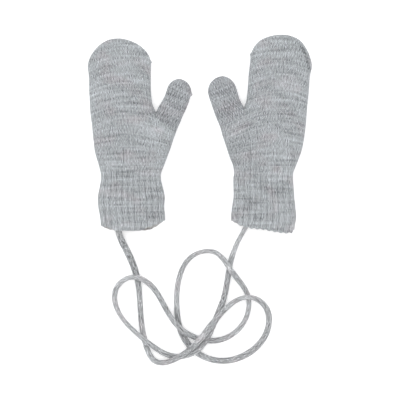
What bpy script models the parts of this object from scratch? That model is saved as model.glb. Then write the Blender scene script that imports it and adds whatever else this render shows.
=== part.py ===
"""A toddler's pair of knitted mittens on one knitted cord, laid flat.

Sizes are in millimetres, and a mesh gets its points in metres. +Z is up, the cloth rests on z = 0,
and the origin is under the middle of the two mittens. Each mitten is a ribbed cuff, a hand and a
thumb. Its far side is the little finger's, and its near side is the thumb's.
"""
import math
from collections import namedtuple

import bmesh
import bpy
import numpy as np
from mathutils import Vector

MM = 0.001

# The cloth
WALL = 1.6            # one layer of stocking stitch
EDGE = 4.1            # radius of a folded side edge, half the height of the flat mitten
DOME = 0.6            # how far the upper layer lifts towards its middle
DOME_REACH = 18.0     # how far from the edge it has lifted fully
SEAM_GAP = 0.3        # between two pieces joined by a seam
SEAM_SAG = 3.2        # how far the thumb's seam bows down into the palm
SEAM_LEAN = 0.7       # under 1, the bow is deepest nearer the crotch
SEAM_REACH = 0.5      # share of the thumb's length over which the bow fades out

# The ribs of the cuff, on its upper side and edges
RIBS_ACROSS = 11
POINTS_PER_RIB = 4
RIB_RISE = 0.7
RIB_START = 0.08      # share of the cuff's length over which the ribs grow from the wrist

# The cord
CORD_DIAMETER = 4.4
CORD_CLEARANCE = 1.2  # between two strands where the cord crosses itself
CORD_TAIL = 13.0      # the stretch at each end that lies on the cuff's lower layer
CORD_STEP = 1.8       # spacing at which the cord is laid out
CORD_SPAN = 14.6      # a point of the tube for each such length of straight cord
CORD_TURN = 1.2       # or for each such turn in radians, and between them for some of both
CORD_SIDES_RESOLUTION = 2
CORD_FINENESS = 40    # points worked out between two of the route's own
CORD_NEIGHBOURS = 10  # points this near along the cord aren't tested for a crossing
SETTLE_TURNS = 900    # how often the cord's heights are eased
SETTLE_DROP = 0.004   # how far its weight brings it down each time
SETTLE_EASE = 0.5     # how far each height moves to that of a springy cord
UPPER_SHARE = 0.7     # how much of a clash the upper strand gives way, the lower one the rest

# How finely the pieces are divided
FINGER_COLUMNS = 12
THUMB_COLUMNS = 8
UNDERSIDE_COLUMNS = 10
PALM_ROWS = 8
CUFF_ROWS = 7
ROWS_PER_COURSE = 2
OUTLINE_STEPS = 4
ON_OUTLINE = 0.3      # nearer than this, a point counts as lying on the outline
MERGE = 0.01          # points this close are one
SHARP_ANGLE = 50.0    # degrees, from which an edge isn't smoothed

Course = namedtuple("Course", "far_x far_y near_x near_y")
Side = namedtuple("Side", "y far near")
Hem = namedtuple("Hem", "across front back")
Fold = namedtuple("Fold", "x y turn length width depth")
Crossing = namedtuple("Crossing", "upper lower")
Mitten = namedtuple("Mitten", "name side palm fingers thumb cuff hem folds")

LEFT = Mitten(
    name="left",
    side=1,
    palm=[
        Course(-80.8, -26.0, -28.8, -26.0),
        Course(-84.0, -15.2, -26.1, -18.8),
        Course(-85.4, -4.4, -23.4, -11.6),
        Course(-86.5, 6.4, -21.0, -4.4),
        Course(-87.8, 17.2, -18.4, 2.8),
    ],
    fingers=[
        Course(-87.8, 17.2, -35.2, 17.2),
        Course(-88.2, 25.0, -38.0, 24.0),
        Course(-88.8, 35.0, -39.2, 34.5),
        Course(-89.0, 46.0, -39.3, 46.0),
        Course(-89.9, 54.0, -39.1, 55.0),
        Course(-88.0, 61.0, -40.4, 61.4),
        Course(-83.8, 67.4, -44.4, 67.2),
        Course(-78.6, 72.2, -50.4, 71.8),
        Course(-72.4, 75.2, -58.0, 75.0),
        Course(-65.2, 76.1, -65.2, 76.1),
    ],
    thumb=[
        Course(-35.2, 17.2, -18.4, 2.8),
        Course(-33.0, 21.8, -15.8, 8.8),
        Course(-30.6, 25.6, -13.2, 15.0),
        Course(-28.4, 29.8, -10.4, 21.0),
        Course(-26.8, 34.2, -8.2, 27.4),
        Course(-25.4, 38.2, -6.8, 32.6),
        Course(-22.8, 41.4, -7.8, 37.4),
        Course(-19.6, 43.2, -10.8, 41.4),
        Course(-15.8, 43.7, -15.8, 43.7),
    ],
    cuff=[
        Side(-26.0, -80.8, -28.8),
        Side(-30.8, -79.6, -30.8),
        Side(-36.0, -79.2, -31.2),
        Side(-42.5, -80.2, -29.8),
        Side(-50.5, -81.6, -28.1),
        Side(-58.5, -81.4, -28.6),
        Side(-66.5, -80.0, -27.8),
        Side(-74.5, -79.2, -27.6),
    ],
    hem=[
        Hem(0.00, -73.6, -73.6),
        Hem(0.12, -74.4, -76.0),
        Hem(0.19, -76.6, -76.4),
        Hem(0.37, -77.2, -76.8),
        Hem(0.63, -77.0, -77.0),
        Hem(0.71, -74.6, -76.7),
        Hem(0.80, -73.2, -75.4),
        Hem(0.90, -71.4, -72.2),
        Hem(1.00, -68.8, -68.8),
    ],
    folds=[
        Fold(-40.0, 6.0, -38.0, 26.0, 7.0, 0.7),
        Fold(-66.0, -18.0, 8.0, 30.0, 6.0, 0.5),
        Fold(-72.0, 40.0, 65.0, 34.0, 9.0, 0.4),
    ],
)

RIGHT = Mitten(
    name="right",
    side=-1,
    palm=[
        Course(76.8, -26.0, 26.4, -26.0),
        Course(81.2, -14.3, 23.4, -18.2),
        Course(83.6, -2.6, 20.9, -10.4),
        Course(84.9, 9.1, 18.2, -2.6),
        Course(85.8, 20.8, 16.0, 5.2),
    ],
    fingers=[
        Course(85.8, 20.8, 35.2, 20.8),
        Course(86.6, 28.0, 37.2, 27.6),
        Course(87.4, 37.0, 38.2, 37.0),
        Course(88.0, 46.0, 38.8, 46.4),
        Course(89.6, 53.6, 39.8, 56.0),
        Course(88.4, 60.4, 40.6, 63.4),
        Course(85.4, 67.4, 43.6, 69.8),
        Course(80.2, 74.4, 48.8, 75.0),
        Course(72.6, 78.2, 56.4, 78.0),
        Course(64.4, 79.0, 64.4, 79.0),
    ],
    thumb=[
        Course(35.2, 20.8, 16.0, 5.2),
        Course(33.4, 24.2, 13.4, 11.4),
        Course(31.6, 28.0, 11.0, 17.8),
        Course(30.4, 32.0, 9.0, 24.0),
        Course(29.2, 36.2, 7.0, 29.6),
        Course(27.6, 39.8, 6.3, 34.6),
        Course(24.8, 43.2, 7.9, 39.8),
        Course(21.2, 45.3, 12.2, 44.1),
        Course(17.4, 45.9, 17.4, 45.9),
    ],
    cuff=[
        Side(-26.0, 76.8, 26.4),
        Side(-30.8, 74.8, 27.2),
        Side(-36.0, 74.4, 26.6),
        Side(-42.5, 74.9, 26.6),
        Side(-50.5, 75.4, 26.8),
        Side(-58.5, 76.2, 25.6),
        Side(-66.5, 76.9, 24.8),
        Side(-76.5, 75.6, 25.0),
    ],
    hem=[
        Hem(0.00, -76.0, -76.0),
        Hem(0.05, -78.4, -78.2),
        Hem(0.19, -78.6, -78.4),
        Hem(0.35, -77.4, -77.2),
        Hem(0.50, -75.8, -75.6),
        Hem(0.70, -74.8, -74.8),
        Hem(0.86, -72.4, -72.6),
        Hem(1.00, -68.8, -68.8),
    ],
    folds=[
        Fold(38.0, 8.0, 40.0, 24.0, 7.0, 0.6),
        Fold(58.0, -19.0, -6.0, 26.0, 6.0, 0.5),
        Fold(70.0, 34.0, -70.0, 36.0, 9.0, 0.4),
    ],
)

# The cord's way over the surface, from inside the left cuff to inside the right one
CORD_ROUTE = [
    (-66.0, -69.5), (-65.2, -78.0), (-58.0, -95.0), (-50.4, -115.4), (-47.8, -141.0),
    (-43.6, -168.4), (-36.0, -182.2), (-12.0, -175.2), (7.2, -155.2), (24.4, -136.8),
    (39.4, -130.8), (52.6, -139.0), (53.8, -158.0), (39.6, -175.4), (19.6, -182.0),
    (-0.4, -176.8), (-14.6, -160.0), (-18.6, -138.0), (-16.2, -114.0), (-6.0, -98.0),
    (11.6, -95.0), (26.0, -111.0), (38.4, -130.0), (34.6, -152.0), (14.0, -165.6),
    (-9.6, -160.2), (-26.0, -142.6), (-38.2, -122.8), (-53.6, -114.8), (-67.0, -124.0),
    (-64.4, -144.6), (-44.0, -165.0), (-21.0, -178.4), (-2.4, -173.4), (10.6, -153.2),
    (19.6, -129.8), (23.6, -107.4), (29.2, -89.0), (36.4, -75.4), (39.6, -69.5),
]

# Where the cord crosses itself: the places of its upper and lower pass, counted in route points
CORD_CROSSINGS = [
    Crossing(27.8, 3.0),
    Crossing(31.0, 4.9),
    Crossing(6.6, 32.0),
    Crossing(7.2, 15.5),
    Crossing(33.0, 15.2),
    Crossing(7.6, 24.6),
    Crossing(33.3, 24.4),
    Crossing(25.3, 16.3),
    Crossing(8.3, 34.1),
    Crossing(20.8, 36.0),
    Crossing(10.0, 22.0),
]


def clear_scene():
    for obj in list(bpy.data.objects):
        bpy.data.objects.remove(obj, do_unlink=True)


def yarn(name, colour):
    """Heathered knitting yarn, plain here."""
    material = bpy.data.materials.new(name)
    material.use_nodes = True
    shader = material.node_tree.nodes["Principled BSDF"]
    shader.inputs["Base Color"].default_value = (*colour, 1.0)
    shader.inputs["Roughness"].default_value = 0.92
    shader.inputs["Metallic"].default_value = 0.0
    return material


def smoothstep(value):
    value = min(max(value, 0.0), 1.0)
    return value * value * (3.0 - 2.0 * value)


def spread(count):
    """Shares from 0 to 1, closer together towards both ends."""
    return [0.5 - 0.5 * math.cos(math.pi * step / count) for step in range(count + 1)]


def curve_at(points, before, after, place):
    """A point on the smooth curve through points, with place counted in points."""
    ends = [before, *points, after]
    step = min(int(place), len(points) - 2)
    share = place - step
    a, b, c, d = ends[step:step + 4]
    pull = (c - a) * 0.5
    push = (d - b) * 0.5
    square, cube = share ** 2, share ** 3
    return (b * (2 * cube - 3 * square + 1) + pull * (cube - 2 * square + share)
            + c * (3 * square - 2 * cube) + push * (cube - square))


class Shape:
    """The outline of one mitten, and the curves along its pieces."""

    def __init__(self, mitten):
        self.mitten = mitten
        self.palm = self.ends(mitten.palm)
        self.fingers = self.ends(mitten.fingers)
        self.thumb = self.ends(mitten.thumb)
        self.outline = self.trace()
        self.inward = self.normals()

    @staticmethod
    def ends(courses):
        far = [Vector((course.far_x, course.far_y)) for course in courses]
        near = [Vector((course.near_x, course.near_y)) for course in courses]
        return far, near

    def palm_ends(self, place):
        far, near = self.palm
        cuff = self.mitten.cuff[1]
        return (curve_at(far, Vector((cuff.far, cuff.y)), self.fingers[0][1], place),
                curve_at(near, Vector((cuff.near, cuff.y)), self.thumb[1][1], place))

    def finger_ends(self, place):
        far, near = self.fingers
        return (curve_at(far, self.palm[0][-2], near[-2], place),
                curve_at(near, near[0] * 2 - near[1], far[-2], place))

    def thumb_ends(self, place):
        far, near = self.thumb
        return (curve_at(far, far[0] * 2 - far[1], near[-2], place),
                curve_at(near, self.palm[1][-2], far[-2], place))

    def cuff_side(self, column, y):
        """Where one side of the cuff is at the height y."""
        sides = self.mitten.cuff
        for upper, lower in zip(sides, sides[1:]):
            if y >= lower.y:
                break
        share = (upper.y - y) / (upper.y - lower.y)
        points = [Vector((getattr(side, column), side.y)) for side in sides]
        return curve_at(points, points[0], points[-1], sides.index(upper) + share).x

    def trace(self):
        """The outline from the hem's far corner round the tips to its near corner."""
        def steps(courses):
            return [step / OUTLINE_STEPS for step in range((len(courses) - 1) * OUTLINE_STEPS + 1)]
        mitten = self.mitten
        up_far = [Vector((side.far, side.y)) for side in reversed(mitten.cuff)]
        palm = [self.palm_ends(place) for place in steps(mitten.palm)]
        fingers = [self.finger_ends(place) for place in steps(mitten.fingers)]
        thumb = [self.thumb_ends(place) for place in steps(mitten.thumb)]
        down_near = [Vector((side.near, side.y)) for side in mitten.cuff]
        return (up_far + [far for far, near in palm[1:]] + [far for far, near in fingers[1:]]
                + [near for far, near in reversed(fingers[:-1])] + [far for far, near in thumb[1:]]
                + [near for far, near in reversed(thumb[:-1])]
                + [near for far, near in reversed(palm[:-1])] + down_near[1:])

    def normals(self):
        """The way into the cloth at each point of the outline."""
        spans = [end - start for start, end in zip(self.outline, self.outline[1:])]
        sides = [Vector((span.y, -span.x)).normalized() * self.mitten.side for span in spans]
        return [(before + after).normalized()
                for before, after in zip([sides[0], *sides], [*sides, sides[-1]])]

    def nearest(self, point):
        """How far a point of the plan is from the outline, and the way in from there."""
        best = (float("inf"), None, None, None)
        for index, (start, end) in enumerate(zip(self.outline, self.outline[1:])):
            along = end - start
            share = min(max((point - start).dot(along) / along.length_squared, 0.0), 1.0)
            foot = start + along * share
            best = min(best, ((point - foot).length, index, share, foot), key=lambda found: found[0])
        distance, index, share, foot = best
        if distance > ON_OUTLINE:
            return distance, (point - foot) / distance
        return distance, self.inward[index].lerp(self.inward[index + 1], share).normalized()

    def fold(self, point):
        """How deep the soft troughs are at a point of the upper layer."""
        depth = 0.0
        for trough in self.mitten.folds:
            turn = math.radians(trough.turn)
            offset = point - Vector((trough.x, trough.y))
            along = offset.x * math.cos(turn) + offset.y * math.sin(turn)
            across = offset.y * math.cos(turn) - offset.x * math.sin(turn)
            reach = (2.0 * along / trough.length) ** 2 + (2.0 * across / trough.width) ** 2
            depth += trough.depth * math.exp(-reach)
        return depth

    def wall(self, point, layer, on_edge=False):
        """A point of the cloth's outer face and the one behind it on the inner face. The layer is
        1 for the upper one and -1 for the lower one, and the two meet in a round edge."""
        distance, inward = self.nearest(point)
        reach = 0.0 if on_edge else min(distance, EDGE)
        level = 1.0 - reach / EDGE
        rise = math.sqrt(1.0 - level ** 2) * layer
        lift = 0.0
        if layer > 0 and not on_edge:
            lift = DOME * smoothstep(distance / DOME_REACH) - self.fold(point) * smoothstep(reach / EDGE)
        outward = Vector((-inward.x * level, -inward.y * level, rise))
        outer = Vector((point.x, point.y, EDGE + EDGE * rise + lift))
        return outer, outer - outward * WALL


def seam_row(shape):
    """The thumb's seam, from the crotch across to the mitten's near edge."""
    start, end = shape.thumb_ends(0.0)
    along = (end - start).normalized()
    down = Vector((along.y, -along.x)) * shape.mitten.side
    return [start.lerp(end, share) + down * SEAM_SAG * math.sin(math.pi * share ** SEAM_LEAN)
            for share in spread(THUMB_COLUMNS)]


def palm_rows(shape):
    """Rows from the wrist up to the bent line through the crotch and the thumb's seam, closer
    together towards that line."""
    last_place = len(shape.mitten.palm) - 1
    start, crotch = shape.finger_ends(0.0)
    last = [start.lerp(crotch, share) for share in spread(FINGER_COLUMNS)] + seam_row(shape)[1:]
    chord = last[-1] - last[0]
    last_shares = [(point - last[0]).dot(chord) / chord.length_squared for point in last]
    bends = [point - last[0].lerp(last[-1], share) for point, share in zip(last, last_shares)]
    wrist_shares = spread(len(last) - 1)
    rows = []
    for step in range(PALM_ROWS + 1):
        height = 1.0 - (1.0 - step / PALM_ROWS) ** 2
        far, near = shape.palm_ends(height * last_place)
        rows.append([far.lerp(near, wrist + (seam - wrist) * height) + bend * height ** 2
                     for wrist, seam, bend in zip(wrist_shares, last_shares, bends)])
    rows[0] = [point + Vector((0.0, SEAM_GAP / 2)) for point in rows[0]]
    return rows


def tip_rows(ends_at, courses, shares):
    """Rows that narrow to one point at the tip."""
    count = (len(courses) - 1) * ROWS_PER_COURSE
    rows = []
    for step in range(count + 1):
        far, near = ends_at(step / ROWS_PER_COURSE)
        rows.append([far.lerp(near, share) for share in shares])
    return rows


def thumb_rows(shape):
    """The thumb's rows, the first of them along its seam and a gap away from it."""
    rows = tip_rows(shape.thumb_ends, shape.mitten.thumb, spread(THUMB_COLUMNS))
    seam = seam_row(shape)
    bends = [point - straight for point, straight in zip(seam, rows[0])]
    base, middle = rows[0], rows[len(rows) // 4]
    outward = ((middle[0] + middle[-1]) / 2 - (base[0] + base[-1]) / 2).normalized()
    eased = []
    for index, row in enumerate(rows):
        left = smoothstep(1.0 - index / (len(rows) - 1) / SEAM_REACH)
        moved = outward * SEAM_GAP * left
        eased.append([point + bend * left + moved for point, bend in zip(row, bends)])
    return eased


def ring(shape, upper, lower=None):
    """A closed ring round the mitten: over the upper layer, then back under the lower one. It gives
    the ring's points on the outer face and those on the inner face."""
    lower = upper[-2:0:-1] if lower is None else lower
    at_tip = upper[0] == upper[-1]
    pairs = [shape.wall(point, 1, at_tip or index in (0, len(upper) - 1))
             for index, point in enumerate(upper)]
    pairs += [shape.wall(point, -1, at_tip) for point in lower]
    return [outer for outer, inner in pairs], [inner for outer, inner in pairs]


def add_faces(mesh, lower, upper, closed=True):
    """A band of faces between two rows of vertices."""
    count = len(lower) if closed else len(lower) - 1
    for index in range(count):
        after = (index + 1) % len(lower)
        mesh.faces.new([lower[index], lower[after], upper[after], upper[index]])


def add_tube(mesh, rings):
    """The outer and the inner face of a tube of cloth, each as rows of vertices."""
    sheets = []
    for face in (0, 1):
        rows = [[mesh.verts.new(point * MM) for point in pair[face]] for pair in rings]
        for lower, upper in zip(rows, rows[1:]):
            add_faces(mesh, lower, upper)
        sheets.append(rows)
    return sheets


def cloth_object(mesh, name, colour):
    """One closed piece of cloth from the faces in mesh."""
    bmesh.ops.remove_doubles(mesh, verts=mesh.verts, dist=MERGE * MM)
    bmesh.ops.recalc_face_normals(mesh, faces=mesh.faces)
    data = bpy.data.meshes.new(name)
    mesh.to_mesh(data)
    mesh.free()
    data.shade_smooth()
    data.set_sharp_from_angle(angle=math.radians(SHARP_ANGLE))
    data.materials.append(yarn(name + "_yarn", colour))
    obj = bpy.data.objects.new(name, data)
    bpy.context.collection.objects.link(obj)
    return obj


def hand(shape):
    """The palm and the fingers, with the thumb's opening between them."""
    palm = [ring(shape, row) for row in palm_rows(shape)]
    crotch = FINGER_COLUMNS
    at_crotch = shape.wall(shape.finger_ends(0.0)[1], 1, on_edge=True)
    for face, point in enumerate(at_crotch):
        palm[-1][face][crotch] = palm[-1][face][-crotch] = point
    fingers = [ring(shape, row) for row in
               tip_rows(shape.finger_ends, shape.mitten.fingers, spread(FINGER_COLUMNS))]
    mesh = bmesh.new()
    outer, inner = add_tube(mesh, palm)
    add_tube(mesh, fingers)
    add_faces(mesh, outer[0], inner[0])
    opening = slice(crotch, len(outer[-1]) - crotch + 1)
    add_faces(mesh, outer[-1][opening], inner[-1][opening], closed=False)
    return cloth_object(mesh, shape.mitten.name + "_hand", (0.40, 0.42, 0.44))


def thumb(shape):
    mesh = bmesh.new()
    outer, inner = add_tube(mesh, [ring(shape, row) for row in thumb_rows(shape)])
    add_faces(mesh, outer[0], inner[0])
    return cloth_object(mesh, shape.mitten.name + "_thumb", (0.36, 0.36, 0.39))


def hem_at(hem, share, layer):
    """The hem's height on one layer, at a share of the way across."""
    points = [Vector((row.across, getattr(row, layer))) for row in hem]
    for index, (start, end) in enumerate(zip(points, points[1:])):
        if share <= end.x:
            break
    part = (share - start.x) / (end.x - start.x)
    return curve_at(points, points[0], points[-1], index + part).y


def cuff_points(shape, down, shares, layer):
    """Points of one layer of the cuff across its width, a share of the way down to the hem."""
    hem = shape.mitten.hem
    top = shape.mitten.cuff[0].y - SEAM_GAP / 2
    far = shape.cuff_side("far", top + (hem_at(hem, 0.0, layer) - top) * down)
    near = shape.cuff_side("near", top + (hem_at(hem, 1.0, layer) - top) * down)
    return [Vector((far + (near - far) * share, top + (hem_at(hem, share, layer) - top) * down))
            for share in shares]


def cuff_ring(shape, down):
    """One ring of the cuff, with the upper side of its outer face raised into ribs."""
    columns = RIBS_ACROSS * POINTS_PER_RIB
    upper = cuff_points(shape, down, [step / columns for step in range(columns + 1)], "front")
    lower = cuff_points(shape, down, spread(UNDERSIDE_COLUMNS)[-2:0:-1], "back")
    outer, inner = ring(shape, upper, lower)
    rise = RIB_RISE * smoothstep(down / RIB_START)
    for index in range(columns):
        wave = 0.5 - 0.5 * math.cos(2.0 * math.pi * index / POINTS_PER_RIB)
        outer[index] += (outer[index] - inner[index]) / WALL * rise * wave
    return outer, inner


def cuff(shape):
    """The ribbed cuff, with its inner face plain and a rim at each end."""
    mesh = bmesh.new()
    outer, inner = add_tube(mesh, [cuff_ring(shape, row / CUFF_ROWS) for row in range(CUFF_ROWS + 1)])
    add_faces(mesh, outer[0], inner[0])
    add_faces(mesh, outer[-1], inner[-1])
    return cloth_object(mesh, shape.mitten.name + "_cuff", (0.38, 0.40, 0.42))


def smooth_route(points, step):
    """Evenly spaced points on the natural cubic curve through the route's points, and the place
    of each, counted in route points."""
    route = np.array(points)
    knots = np.concatenate([[0.0], np.cumsum(np.linalg.norm(np.diff(route, axis=0), axis=1))])
    gaps = np.diff(knots)
    count = len(route)
    system = np.eye(count)
    slopes = np.diff(route, axis=0) / gaps[:, None]
    target = np.zeros_like(route)
    for row in range(1, count - 1):
        system[row, row - 1:row + 2] = gaps[row - 1], 2 * (gaps[row - 1] + gaps[row]), gaps[row]
        target[row] = 6 * (slopes[row] - slopes[row - 1])
    bends = np.linalg.solve(system, target)
    fine = []
    for index, gap in enumerate(gaps):
        for part in np.linspace(0.0, gap, CORD_FINENESS, endpoint=False):
            left = gap - part
            fine.append((bends[index] * left ** 3 + bends[index + 1] * part ** 3) / (6 * gap)
                        + (route[index] / gap - bends[index] * gap / 6) * left
                        + (route[index + 1] / gap - bends[index + 1] * gap / 6) * part)
    fine = np.array(fine + [route[-1]])
    lengths = np.concatenate([[0.0], np.cumsum(np.linalg.norm(np.diff(fine, axis=0), axis=1))])
    spots = np.linspace(0.0, lengths[-1], round(lengths[-1] / step) + 1)
    plan = np.column_stack([np.interp(spots, lengths, fine[:, axis]) for axis in (0, 1)])
    return plan, np.interp(spots, knots * lengths[-1] / knots[-1], np.arange(len(route)))


def crossing_pairs(plan, places):
    """Pairs of points of the cord that lie over each other, upper one first, and how far apart."""
    apart = CORD_DIAMETER + CORD_CLEARANCE
    pairs = []
    for first in range(len(plan)):
        for second in range(first + CORD_NEIGHBOURS, len(plan)):
            distance = np.linalg.norm(plan[first] - plan[second])
            if distance < apart:
                rise = math.sqrt(apart ** 2 - distance ** 2)
                over, under = min(
                    ((first, second), (second, first)),
                    key=lambda pair: min(abs(places[pair[0]] - cross.upper)
                                         + abs(places[pair[1]] - cross.lower)
                                         for cross in CORD_CROSSINGS))
                pairs.append((over, under, rise))
    return pairs


def settle(plan, places):
    """Heights of the cord's middle line: it lies on the surface and passes over itself in low humps."""
    count = len(plan)
    radius = CORD_DIAMETER / 2
    tail = int(CORD_TAIL / CORD_STEP) + 1
    floor = np.full(count, radius)
    floor[:tail] = floor[-tail:] = WALL + SEAM_GAP + radius
    pairs = crossing_pairs(plan, places)
    heights = floor.copy()
    for _ in range(SETTLE_TURNS):
        padded = np.pad(heights, 2, mode="edge")
        springy = (-padded[:-4] + 4 * padded[1:-3] + 4 * padded[3:-1] - padded[4:]) / 6
        heights += (springy - heights) * SETTLE_EASE - SETTLE_DROP
        heights = np.maximum(heights, floor)
        for over, under, rise in pairs:
            short = rise - (heights[over] - heights[under])
            if short > 0.0:
                heights[over] += short * UPPER_SHARE
                heights[under] = max(heights[under] - short * (1.0 - UPPER_SHARE), floor[under])
    for over, under, rise in pairs:
        heights[over] = max(heights[over], heights[under] + rise)
    return heights


def tube_points(line):
    """Points picked along the middle line, closer together where it bends."""
    picked = [line[0]]
    share = 0.0
    for before, here, after in zip(line, line[1:], line[2:]):
        share += (here - before).length / CORD_SPAN + (after - here).angle(here - before) / CORD_TURN
        if share >= 1.0:
            picked.append(here)
            share = 0.0
    return picked + [line[-1]]


def cord():
    """The knitted cord, laid in loose loops with each end inside a cuff."""
    plan, places = smooth_route(CORD_ROUTE, CORD_STEP)
    line = [Vector((x, y, z)) for (x, y), z in zip(plan, settle(plan, places))]
    points = tube_points(line)
    curve = bpy.data.curves.new("cord", "CURVE")
    curve.dimensions = "3D"
    curve.bevel_depth = CORD_DIAMETER / 2 * MM
    curve.bevel_resolution = CORD_SIDES_RESOLUTION
    curve.use_fill_caps = True
    spline = curve.splines.new("POLY")
    spline.points.add(len(points) - 1)
    for point, place in zip(spline.points, points):
        point.co = (*(place * MM), 1.0)
    curve.materials.append(yarn("cord_yarn", (0.36, 0.37, 0.38)))
    obj = bpy.data.objects.new("cord", curve)
    bpy.context.collection.objects.link(obj)
    return obj


def main():
    clear_scene()
    for mitten in (LEFT, RIGHT):
        shape = Shape(mitten)
        cuff(shape)
        hand(shape)
        thumb(shape)
    cord()


main()
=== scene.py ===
"""The looks of a toddler's pair of heathered grey knitted mittens on one knitted cord, laid flat.

Every cloth piece is a thin closed shell on the form of its solid, with its stitches raised in it.
Sizes are in millimetres, but for the floor and the light, in metres. A place in the pattern is
counted in stitches: u across the wales, which are the columns, and v up the courses, the rows.
"""
from collections import namedtuple
from math import cos, pi, radians, sin, sqrt

import bmesh
import bpy
import numpy as np
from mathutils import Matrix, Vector
from numpy.linalg import norm


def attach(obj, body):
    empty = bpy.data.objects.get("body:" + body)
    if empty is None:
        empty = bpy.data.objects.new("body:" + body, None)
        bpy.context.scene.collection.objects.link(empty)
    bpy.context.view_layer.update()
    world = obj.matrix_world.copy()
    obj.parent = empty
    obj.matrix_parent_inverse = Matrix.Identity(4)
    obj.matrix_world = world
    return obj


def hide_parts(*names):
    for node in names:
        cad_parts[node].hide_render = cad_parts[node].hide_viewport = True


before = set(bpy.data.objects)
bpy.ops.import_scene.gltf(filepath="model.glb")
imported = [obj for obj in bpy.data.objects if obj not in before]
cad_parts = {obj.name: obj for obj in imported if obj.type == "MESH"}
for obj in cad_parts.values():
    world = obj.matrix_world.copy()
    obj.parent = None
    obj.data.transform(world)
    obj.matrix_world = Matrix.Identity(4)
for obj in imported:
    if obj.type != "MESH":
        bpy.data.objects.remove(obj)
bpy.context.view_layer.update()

MM = 0.001

# The cloth, as in the solids
WALL = 1.6
EDGE = 4.1  # radius of a side edge, half the flat mitten's height
EDGE_EXTRA = EDGE * (pi / 2 - 1)  # more cloth round it than in the plan
DOME = 0.6  # lift of the upper layer's middle
DOME_REACH = 18
SEAM_GAP = 0.3
SEAM_SAG = 3.2  # bow of the thumb's seam into the palm
SEAM_LEAN = 0.7  # under 1, it bows most near the crotch
SEAM_REACH = 0.5  # share of the thumb with bowed rows
RIBS_ACROSS = 11  # on each layer, with half a rib more at each side edge
RIB_RISE = 0.7
RIB_START = 0.08  # share of the cuff where they grow in

# The stitches
WALE = 1.85  # width of a stitch in the hands
COURSE = 1.45  # height of a stitch
THUMB_WALE = 1.7
STITCH_DEPTH = 0.4  # from the top of the yarn down to the gaps
STITCH_BUMP = 0.25  # the same in the material
JOINT_SHARE = 0.4  # share of the depth at which two pieces join
LEG_FOOT, LEG_TOP = 0.07, 0.45  # a leg's ends, from the V's middle
LEG_LENGTH = 1.35  # each stitch reaches into the next
LEG_WIDTH = 0.21
LEG_SLOPE = LEG_LENGTH / (LEG_TOP - LEG_FOOT)
LEG_MEET = LEG_FOOT + 0.5 / LEG_SLOPE
TONE_SLOPE = 0.5 * LEG_SLOPE  # how steeply a tone ends across a leg
ARCH = 4.6  # bow of a hand's courses, from its middle to its side edges
ARCH_LIMIT = 1.6  # in half widths
ARCH_START = 24  # above the wrist, where the bow is full
LEAN = 0.085  # of the wales with the fingers, for each millimetre up
FAN = 0.16  # how much wider the wales are at the tip
FAN_REACH = 16
PURL = 0.13  # half the purl wale in a rib's valley, as a share of the rib
PURL_HEIGHT = 0.35
PURL_START, PURL_FULL = 0.3, 0.6  # depths at which purl starts and is full
VALLEY_DEPTH = 0.12
VALLEY_FADE = 0.6  # of the valley beside the purl wale
SCALLOP_START = 0.9  # share of the cuff above the scallops
HEM_ROUND = (0, -0.55, 0)
NUB_REACH = 1.1  # radius of a small bump on the outline

# The heather. Amount is how strongly a noise changes the yarn's tone. Across and up are how often
# it changes, in times a stitch and a course, and layer keeps it apart from the other noises
Noise = namedtuple("Noise", "amount across up layer detail roughness", defaults=(2, 0.5))
CLUMP = Noise(0.82, 0.85, 5.3, 0, 2, 0.6)  # tufts of lighter and darker fibre along the yarn
STRAND = Noise(0.68, 0.17, 7.1, 3, 1)  # stretches of a few stitches
STREAK = Noise(0.8, 0.055, 0.62, 5, 1.5)  # longer stretches
PATCH = Noise(0.15, 0.035, 0.05, 9)
WARMTH = Noise(1, 0.09, 0.1, 14)  # where the yarn is warmer
FLECK = Noise(0.72, 2, 2.4, 17, 1)  # fluff that lies over the stitches
FUZZ = Noise(0.5, 9, 7, 20, 4, 0.7)  # finest fluff, only in the relief
FIBRE = Noise(0.45, 16, 3, 0.37, 3, 0.65)  # fibres along a leg, with layer for each course
LEG_TONE = 0.36  # each leg of a stitch, against the legs beside it
LEG_PLACE = 0.25  # where a leg's noises are read, from its stitch's middle
GAP_PAINTED_SHADE = 0.38  # painted shade in the hollows between the stitches
GAP_UNEVEN = 2  # more of that painted shade where the yarn is light
# painted shade in the valleys between the ribs
VALLEY_PAINTED_SHADE = 0.1
STITCH_TOP = 0.75  # height at which the painted shade of the hollows is nil; higher tops are painted a little lighter
PLACED = 1.35  # the streaks that are placed one by one
DARKEST = 0.25
WARM_START, WARM_FULL = 0.5, 0.68
WARM_TINT = (1.03, 0.975, 0.98)
# painted light: inner faces lighter, against the shade of the layer above them, and warmer
INSIDE_PAINTED_LIGHT = (1.19, 1.11, 1.05)
PLY_ACROSS, PLY_UP, PLY_HEIGHT = 30, 18, 0.1  # the yarn's twisted plies, in radians
SMOOTHEST, ROUGHEST = 0.82, 0.98

# The cord
CORD_DIAMETER = 4.4
CORD_CLEARANCE = 1.2
CORD_TAIL = 13
CORD_STEP = 1.8
CORD_FINENESS = 40
CORD_NEIGHBOURS = 10
SETTLE_TURNS = 900
SETTLE_DROP = 0.004
SETTLE_EASE = 0.5
UPPER_SHARE = 0.7
CORD_WALES = 7  # stitches round the cord
CORD_COURSE = 1.75
CORD_DEPTH = 0.42
CORD_SWELL = 0.22  # of the stitches' tops, so that it looks as wide as it is
CORD_SIDES = 28
CORD_RING = 0.48  # spacing of the rings
WIDE_DARK = 0.11  # for each millimetre more of width
CORD_TWIST = 0.01  # turns of the wales for each millimetre
CORD_FLATTER = 0.1  # thinner one way than the other
CORD_FLAT_TURN = 23  # in which that way turns by a radian
Wave = namedtuple("Wave", "height length start", defaults=(0,))
CORD_WANDER = [Wave(0.35, 37), Wave(0.2, 13, 1)]  # of the wales, in stitches
CORD_FLAT_WANDER = [Wave(0.8, 61)]  # of the flat way, in radians
CORD_CHARTS = 12  # stretches of its map

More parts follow.
